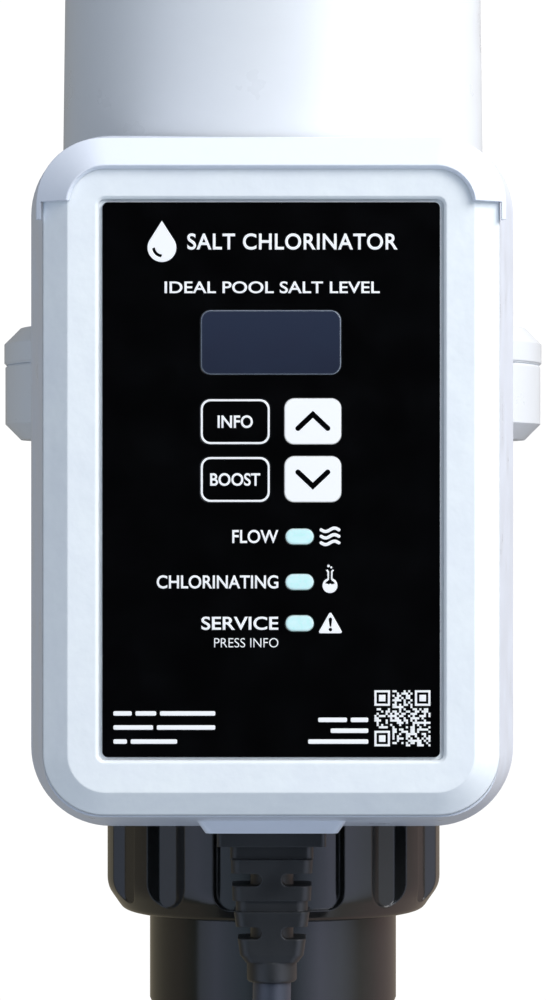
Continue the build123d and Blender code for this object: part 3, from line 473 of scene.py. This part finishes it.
materials = {
    "cell_white": moulded("cell_white", (0.76, 0.78, 0.80), 0.32, satin, 0.006, wear=0.02, patch=0.06),
    "housing_white": moulded("housing_white", (0.79, 0.83, 0.91), 0.34, satin, 0.010),
    "bezel_white": moulded(
        "bezel_white", (0.925, 0.965, 0.995), 0.42, mottled, 0.03, 0.0006, patch=0.013
    ),
    "union_black": moulded("union_black", (0.011, 0.0115, 0.0115), 0.12, glossy, 0.15, 0.0006, 1.0),
    "label_black": moulded("label_black", (0.0012, 0.0012, 0.0014), 0.16, sheet_film, 0.1, 0.0002),
    # The white keys and the white print glow faintly: painted light.
    "key_white": moulded(
        "key_white", (0.97, 0.97, 0.96), 0.3, sheet_film, 0.008, 0.0003, painted_glow=0.1
    ),
    "window_clear": clear_window(),
    "lens_cyan": light_pipe(),
    "rubber_black": moulded("rubber_black", (0.014, 0.015, 0.016), 0.42, leathery, 0.12, 0.0007, 0.8),
    "cord_black": moulded("cord_black", (0.038, 0.044, 0.062), 0.4, leathery, 0.1, 0.0003, 0.3),
    "seal_rubber": moulded("seal_rubber", (0.012, 0.012, 0.012), 0.55, leathery, 0.1),
    "steel_screw": metal("steel_screw", (0.62, 0.62, 0.63), 0.28),
    "titanium": metal("titanium", (0.42, 0.41, 0.40), 0.35, (1, 8, 1)),
    "coated_titanium": moulded(
        "coated_titanium", (0.045, 0.045, 0.05), 0.6, [(0.0005, 0.00003, even)], 0.2, 0.0002, 1.5
    ),
    "board_green": circuit_board(),
    "black_component": moulded("black_component", (0.018, 0.018, 0.02), 0.45, leathery, 0.1, 0.0002),
    "relay_blue": moulded("relay_blue", (0.03, 0.10, 0.33), 0.35, satin, 0.05),
    "terminal_green": moulded("terminal_green", (0.03, 0.27, 0.10), 0.4, satin, 0.06),
    "led_clear": moulded("led_clear", (0.75, 0.88, 0.93), 0.1, sheet_film, 0.03, 0.0002),
    "lcd_glass": moulded("lcd_glass", (0.10, 0.13, 0.17), 0.12, sheet_film, 0.05, 0.0002),
    "heat_sink_aluminium": metal("heat_sink_aluminium", (0.62, 0.62, 0.64), 0.35, (1, 1, 12)),
    "copper_wound": wound_copper(),
    "wire_insulation": wire_colours(),
    "grey_nylon": moulded("grey_nylon", (0.36, 0.37, 0.39), 0.5, leathery, 0.05),
    "magnet_nickel": metal("magnet_nickel", (0.7, 0.69, 0.66), 0.15),
    "contact_brass": metal("contact_brass", (0.78, 0.58, 0.22), 0.22, (1, 1, 6)),
    "tie_black": strap(),
}


def dress_cad_nodes():
    """Gives every carried-over CAD node the finish of its material slot."""
    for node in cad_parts.values():
        for held in node.material_slots:
            held.material = materials[held.material.name.split(".")[0]]


# ---- cord ----------------------------------------------------------------------------
def coil_point(turned, drift):
    """A point of the coil after this many degrees, with a little looseness."""
    turn = int(turned // 360)
    share = (turned % 360) / 360
    here = coil_slots[turn]
    after = coil_slots[min(turn + 1, len(coil_slots) - 1)]
    step = min(1.0, max(0.0, (share - coil_crossing[0]) / coil_crossing[1]))
    step = step * step * (3 - 2 * step)
    column = here[0] + (after[0] - here[0]) * step
    layer = here[1] + (after[1] - here[1]) * step
    radius = coil_inner_turn + coil_pitch * column + drift.uniform(-1, 1) * coil_looseness
    depth = coil_front_layer + coil_pitch * layer + drift.uniform(-1, 1) * coil_looseness
    angle = math.radians(coil_start + turned)
    return (radius * math.cos(angle), depth, coil_height + radius * math.sin(angle))


def make_cord():
    """The cord on one smooth curve: down from the strain relief, the coil, and its tail."""
    drift = random.Random(coil_seed)
    whole = 360.0 * (len(coil_slots) - 1) + coil_end - coil_start
    step = 360.0 / coil_points_per_turn
    count = int(whole // step)
    winding = [coil_point(step * index, drift) for index in range(1, count)]
    points = cord_lead_in + winding + cord_tail
    curve = bpy.data.curves.new("cord", "CURVE")
    curve.dimensions = "3D"
    curve.bevel_depth = cord_radius
    curve.bevel_resolution = 6
    curve.resolution_u = 6
    curve.use_fill_caps = True
    spline = curve.splines.new("NURBS")
    spline.points.add(len(points) - 1)
    for held, (x, y, z) in zip(spline.points, points):
        held.co = (x, y, z, 1.0)
    spline.order_u = 3
    spline.use_endpoint_u = True
    cord = bpy.data.objects.new("cord", curve)
    bpy.context.scene.collection.objects.link(cord)
    curve.materials.append(materials["cord_black"])
    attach(cord, "root")
    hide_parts("power_cord", "cord_coil", "cord_tail")
    return cord


# ---- printing on the panel -----------------------------------------------------------
# Sizes and places on the panel are in millimetres: u to the right and v up from its middle.
def as_print(name, curve, place, size=None, anchor=0.5, body="root", slot="key_white"):
    """Turns a flat curve into a thin printed piece on the panel's face."""
    source = bpy.data.objects.new(name + ".source", curve)
    mesh = bpy.data.meshes.new_from_object(source)
    mesh.name = name
    bpy.data.objects.remove(source)
    bpy.data.curves.remove(curve)
    points = [vertex.co.copy() for vertex in mesh.vertices]
    low = Vector(min(point[axis] for point in points) for axis in range(3))
    high = Vector(max(point[axis] for point in points) for axis in range(3))
    scale_u = scale_v = 1.0
    shift_u = shift_v = 0.0
    if size:
        scale_u = size[0] / (high.x - low.x)
        scale_v = size[1] / (high.y - low.y)
        shift_u = -(low.x + (high.x - low.x) * anchor) * scale_u
        shift_v = -(low.y + high.y) / 2 * scale_v
    deep = high.z - low.z
    for vertex, point in zip(mesh.vertices, points):
        u = point.x * scale_u + shift_u + place[0]
        v = point.y * scale_v + shift_v + place[1]
        out = (point.z - low.z) / deep * ink_depth - ink_depth / 2
        vertex.co = (panel_x + u / 1000, panel_face - out, panel_z + v / 1000)
    mesh.materials.clear()
    mesh.materials.append(materials[slot])
    mesh.update()
    piece = bpy.data.objects.new(name, mesh)
    bpy.context.scene.collection.objects.link(piece)
    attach(piece, body)
    return piece


def words(name, text, size, place, anchor=0.5, weight=0.0, spacing=1.0, body="root"):
    """A line of capitals drawn to a width and cap height. Anchor 0 is left and 1 is right."""
    curve = bpy.data.curves.new(name, "FONT")
    curve.body = text
    curve.size = 1.0
    curve.offset = weight
    curve.space_character = spacing
    curve.resolution_u = 8
    curve.extrude = 0.05
    return as_print(name, curve, place, size, anchor, body)


def printed(name, loops, place=(0.0, 0.0), body="root", slot="key_white"):
    """Filled outlines. A loop inside another is a hole."""
    curve = bpy.data.curves.new(name, "CURVE")
    curve.dimensions = "2D"
    curve.fill_mode = "BOTH"
    curve.extrude = 0.05
    for loop in loops:
        spline = curve.splines.new("POLY")
        spline.points.add(len(loop) - 1)
        for held, (u, v) in zip(spline.points, loop):
            held.co = (u, v, 0.0, 1.0)
        spline.use_cyclic_u = True
    return as_print(name, curve, place, body=body, slot=slot)


def arc(centre, radius, start, end, steps=16):
    """Points along an arc, in degrees."""
    angles = [math.radians(start + (end - start) * step / steps) for step in range(steps + 1)]
    return [(centre[0] + radius * math.cos(a), centre[1] + radius * math.sin(a)) for a in angles]


def rounded(width, height, corner, middle=(0.0, 0.0)):
    """A rounded rectangle's outline."""
    points = []
    for quarter, (side_u, side_v) in enumerate(((1, 1), (-1, 1), (-1, -1), (1, -1))):
        centre = (
            middle[0] + side_u * (width / 2 - corner),
            middle[1] + side_v * (height / 2 - corner),
        )
        points += arc(centre, corner, 90 * quarter, 90 * quarter + 90, 8)
    return points


def circle(middle, radius):
    return arc(middle, radius, 0, 348.75, 31)


def stroke(points, width):
    """The outline of a line of this width, mitred at its corners and round at its ends."""
    half = width / 2
    left, right = [], []
    for index, point in enumerate(points):
        here = Vector(point)
        before = Vector(points[max(index - 1, 0)])
        after = Vector(points[min(index + 1, len(points) - 1)])
        into = (here - before).normalized() if index else (after - here).normalized()
        out = (after - here).normalized() if index < len(points) - 1 else into
        normal_in = Vector((-into.y, into.x))
        normal_out = Vector((-out.y, out.x))
        across = (normal_in + normal_out).normalized()
        across *= half / max(0.3, across.dot(normal_in))
        left.append(tuple(here + across))
        right.append(tuple(here - across))
    end_angle = math.degrees(math.atan2(left[-1][1] - right[-1][1], left[-1][0] - right[-1][0]))
    start_angle = math.degrees(math.atan2(right[0][1] - left[0][1], right[0][0] - left[0][0]))
    cap_end = arc(points[-1], half, end_angle, end_angle - 180, 10)[1:-1]
    cap_start = arc(points[0], half, start_angle, start_angle - 180, 10)[1:-1]
    return left + cap_end + right[::-1] + cap_start


def print_words():
    """The generic words on the panel."""
    for entry in panel_words:
        words(*entry)


def droplet_mark():
    """A plain water drop with a crescent of light in it."""
    drop = [(0.0, 5.2)] + arc((0.0, -1.5), 3.6, 35, -215, 40)
    shine = arc((0.0, -1.5), 2.4, 185, 265, 14) + arc((0.22, -1.28), 1.98, 265, 185, 14)
    return [drop, shine]


def wave_icon():
    """Three wavy lines."""
    loops = []
    for row in (-1, 0, 1):
        line = []
        for step in range(25):
            share = step / 24
            line.append((4.4 * (share - 0.5), 1.62 * row - 0.42 * math.sin(2 * math.pi * share)))
        loops.append(stroke(line, 0.82))
    return loops


def flask_icon():
    """A round flask, part full, with two bubbles over its neck."""
    outside = [(-1.05, 2.55), (-0.68, 2.15), (-0.62, 0.62)]
    outside += arc((0.0, -1.25), 1.88, 109, 431, 36)
    outside += [(0.62, 0.62), (0.68, 2.15), (1.05, 2.55), (0.62, 2.78), (0.24, 2.3), (0.24, 0.2)]
    surface = arc((0.0, -1.25), 1.28, 62, 24, 6)
    surface += [(0.8, -0.85), (0.45, -0.98), (0.1, -0.72), (-0.25, -0.98), (-0.7, -0.8)]
    surface += arc((0.0, -1.25), 1.28, 156, 118, 6)
    inside = [(-0.24, 0.2), (-0.24, 2.3), (-0.62, 2.78)]
    return [outside + surface + inside, circle((-0.38, 3.62), 0.34), circle((0.3, 3.25), 0.28)]


def alert_icon():
    """A rounded triangle with an exclamation mark."""
    triangle = []
    for middle, start in (((0.0, 2.2), 30), ((-2.45, -2.15), 150), ((2.45, -2.15), 270)):
        triangle += arc(middle, 0.4, start, start + 120, 8)
    mark = arc((0.0, 0.95), 0.42, 0, 180, 10) + arc((0.0, -0.72), 0.2, 180, 360, 6)
    return [triangle, mark, circle((0.0, -1.62), 0.42)]


def print_icons():
    """The mark beside the title and the icon beside each lamp."""
    printed("droplet_mark", droplet_mark(), (-27.2, 59.3))
    icon_u = 14.65
    printed("wave_icon", wave_icon(), (icon_u, -14.1))
    printed("flask_icon", flask_icon(), (icon_u, -25.1))
    printed("alert_icon", alert_icon(), (icon_u + 0.1, -35.7))


def bars(rows, right=False):
    """Plain bars in place of small print: rows of (u, v, word widths)."""
    loops = []
    for u, v, widths in rows:
        start = u - sum(widths) - bar_gap * (len(widths) - 1) if right else u
        for width in widths:
            loops.append(rounded(width, bar_height, bar_corner, (start + width / 2, v)))
            start += width + bar_gap
    return loops


def tile_pattern():
    """Seeded tiles that encode nothing, with a framed square in three corners."""
    chance = random.Random(tile_seed)
    cell = tile_side / tile_modules
    last = tile_modules - 7
    corners = ((0, 0), (0, last), (last, last))

    def in_corner(column, row):
        return any(c - 1 <= column < c + 8 and r - 1 <= row < r + 8 for c, r in corners)

    def block(column, row, wide, high, inset=0.0):
        left, low = column * cell + inset, row * cell + inset
        right = (column + wide) * cell - inset - tile_trim
        top = (row + high) * cell - inset - tile_trim
        return [(left, low), (right, low), (right, top), (left, top)]

    loops = []
    for row in range(tile_modules):
        run = 0
        for column in range(tile_modules + 1):
            inside = column < tile_modules and not in_corner(column, row)
            lit = inside and chance.random() < tile_share
            if lit:
                run += 1
            elif run:
                loops.append(block(column - run, row, run, 1))
                run = 0
    for column, row in corners:
        loops.append(block(column, row, 7, 7))
        loops.append(block(column, row, 7, 7, cell)[::-1])
        loops.append(block(column + 2, row + 2, 3, 3))
    return loops


def print_small():
    """What stands where the panel's small print is."""
    printed("care_bars", bars(care_rows))
    printed("help_bars", bars(help_rows, True))
    printed("tile_code", tile_pattern(), tile_place)


def key_place(key):
    """A key's middle, width and height on the panel, in millimetres."""
    low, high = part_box(f"key_{key}")
    width = (high.x - low.x) * 1000 - key_flange
    height = (high.z - low.z) * 1000 - key_flange
    middle = ((low.x + high.x) / 2 - panel_x, (low.z + high.z) / 2 - panel_z)
    return (middle[0] * 1000, middle[1] * 1000), width, height


def print_keys():
    """Outlined keys with a word, and white keys with a dark chevron."""
    for key, text, width in worded_keys:
        place, wide, high = key_place(key)
        body = f"{key}_button"
        wide -= key_inset
        high -= key_inset
        outline = [
            rounded(wide, high, key_corners[0]),
            rounded(wide - 2 * key_line, high - 2 * key_line, key_corners[1])[::-1],
        ]
        printed(f"{key}_outline", outline, place, body)
        size = (width, key_cap_height)
        words(f"{key}_words", text, size, place, 0.5, key_word_weight, 1.0, body)
    for key, rise in (("up", 1.0), ("down", -1.0)):
        place, _, _ = key_place(key)
        tip = chevron_half_h * rise
        tips = [(-chevron_half_w, -tip), (0.0, tip), (chevron_half_w, -tip)]
        loops = [stroke(tips, chevron_line)]
        printed(f"{key}_chevron", loops, place, f"{key}_button", "label_black")


# ---- stage ---------------------------------------------------------------------------
def make_floor():
    """A wide pale disc that fades into the white surroundings. Only the camera finds it."""
    height = cad_low.z - floor_gap
    ring = [
        (
            floor_radius * math.cos(2 * math.pi * index / floor_sides),
            floor_radius * math.sin(2 * math.pi * index / floor_sides),
            height,
        )
        for index in range(floor_sides)
    ]
    mesh = bpy.data.meshes.new("floor")
    mesh.from_pydata(ring, [], [tuple(range(floor_sides))])
    floor = bpy.data.objects.new("floor", mesh)
    bpy.context.scene.collection.objects.link(floor)
    material, tree, shader, place = blank("floor_pale")
    tree.links.new(
        mix(tree, noise(tree, place, 0.3, 2.0), (0.84, 0.86, 0.88, 1), (0.88, 0.9, 0.92, 1)),
        shader.inputs["Base Color"],
    )
    shader.inputs["Roughness"].default_value = 0.7
    away = add(tree, "VectorMath", {0: place}, operation="LENGTH").outputs["Value"]
    seen = add(tree, "LightPath").outputs["Is Camera Ray"]
    bright = add(tree, "Emission", {"Color": (1, 1, 1, 1), "Strength": studio_white})
    through = add(tree, "BsdfTransparent")
    far = between(tree, away, 0.0, 1.0, *floor_fade)
    fade = add(tree, "MixShader", {0: far, 1: shader.outputs["BSDF"], 2: bright.outputs[0]})
    shown = add(tree, "MixShader", {0: seen, 1: through.outputs[0], 2: fade.outputs[0]})
    output = next(node for node in tree.nodes if node.type == "OUTPUT_MATERIAL")
    tree.links.new(shown.outputs[0], output.inputs["Surface"])
    mesh.materials.append(material)


def make_surroundings():
    """White to the camera. To the object, pale walls to the sides and a dim warm room behind."""
    world = bpy.data.worlds.new("studio")
    bpy.context.scene.world = world
    world.use_nodes = True
    tree = world.node_tree
    tree.nodes.clear()
    direction = add(tree, "TexCoord").outputs["Generated"]
    parts = add(tree, "SeparateXYZ", {"Vector": direction}).outputs
    ahead = add(tree, "Math", {0: parts["Y"], 1: -1.0}, operation="MULTIPLY").outputs[0]
    azimuth = add(tree, "Math", {0: parts["X"], 1: ahead}, operation="ARCTAN2").outputs[0]
    ramp = add(tree, "ValToRGB", {"Fac": between(tree, azimuth, 0.0, 1.0, -math.pi, math.pi)})
    stops = ramp.color_ramp.elements
    stops[0].position, stops[-1].position = 0.0, 1.0
    for degrees, colour in walls[1:-1]:
        stops.new((degrees + 180) / 360).color = colour + (1.0,)
    stops[0].color = walls[0][1] + (1.0,)
    stops[-1].color = walls[-1][1] + (1.0,)
    path = add(tree, "LightPath").outputs
    rise = between(tree, parts["Z"], 0.0, 1.0, -0.5, 0.3)
    forward = between(tree, ahead, 0.0, 1.0, -0.3, 0.5)
    soft = mix(tree, rise, mix(tree, forward, soft_behind, soft_ahead), soft_above)
    colour = mix(tree, path["Is Glossy Ray"], soft, ramp.outputs["Color"])
    seen = mix(tree, path["Is Camera Ray"], colour, (studio_white,) * 3 + (1,))
    background = add(tree, "Background", {"Color": seen, "Strength": 1.0})
    output = add(tree, "OutputWorld")
    tree.links.new(background.outputs[0], output.inputs["Surface"])
    # Sampled only by the rays that reach it, so that each kind of ray finds its own light.
    world.cycles.sampling_method = "NONE"


def softbox(name, azimuth, elevation, distance, size, power, colour):
    """A square light aimed at the object's middle, at degrees round from ahead of the panel."""
    light = bpy.data.lights.new(name, "AREA")
    light.shape = "SQUARE"
    light.size = size
    light.energy = power
    light.color = colour
    target = Vector((0.0, 0.0, camera_place[2]))
    turn, rise = math.radians(azimuth), math.radians(elevation)
    toward = Vector(
        (math.sin(turn) * math.cos(rise), -math.cos(turn) * math.cos(rise), math.sin(rise))
    )
    lamp = bpy.data.objects.new(name, light)
    lamp.location = target + toward * distance
    lamp.rotation_euler = (-toward).to_track_quat("-Z", "Y").to_euler()
    lamp.visible_camera = False
    bpy.context.scene.collection.objects.link(lamp)


def make_camera():
    lens = bpy.data.cameras.new("camera")
    lens.lens = camera_focal_length
    lens.sensor_width = camera_sensor
    lens.shift_x = camera_shift
    lens.clip_end = 60.0
    camera = bpy.data.objects.new("camera", lens)
    camera.location = camera_place
    camera.rotation_euler = (math.pi / 2, 0.0, 0.0)
    bpy.context.scene.collection.objects.link(camera)
    bpy.context.scene.camera = camera


dress_cad_nodes()
make_cord()
print_words()
print_icons()
print_small()
print_keys()
make_floor()
make_surroundings()
for entry in softboxes:
    softbox(*entry)
make_camera()
bpy.context.scene.view_settings.view_transform = "Standard"
